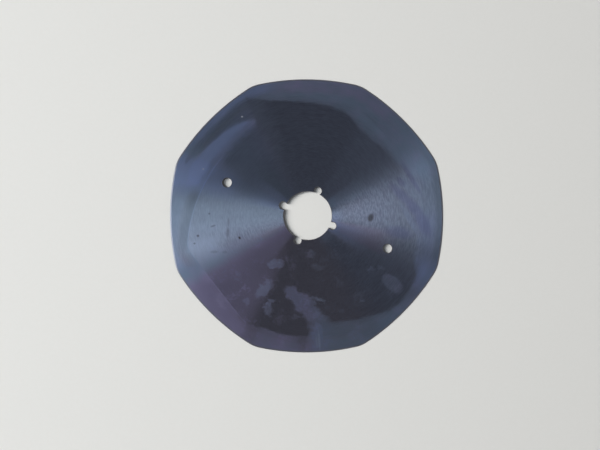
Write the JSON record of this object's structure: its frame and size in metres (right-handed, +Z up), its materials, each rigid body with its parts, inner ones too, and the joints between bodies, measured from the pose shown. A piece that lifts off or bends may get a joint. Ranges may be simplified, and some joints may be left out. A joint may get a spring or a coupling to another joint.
{
  "type": "cloth cutter blade",
  "caption": "Eight-sided ground steel round-knife blade for a cloth cutting machine, with a notched spindle bore and pin holes.",
  "frame": {"origin": "on the bore's axis, in the blade's flat underside, which it lies on", "axes": "+Z up along the bore's axis towards the bevelled side, +X through the two pin holes and one corner of the outline"},
  "size_m": [0.125, 0.125, 0.0012],
  "materials": {
    "blade_steel": "ground with a circular grain, oiled, blue-grey, with a paler bevel round the rim"
  },
  "bodies": {
    "root": {"cutter_blade": "blade_steel"}
  },
  "joints": []
}
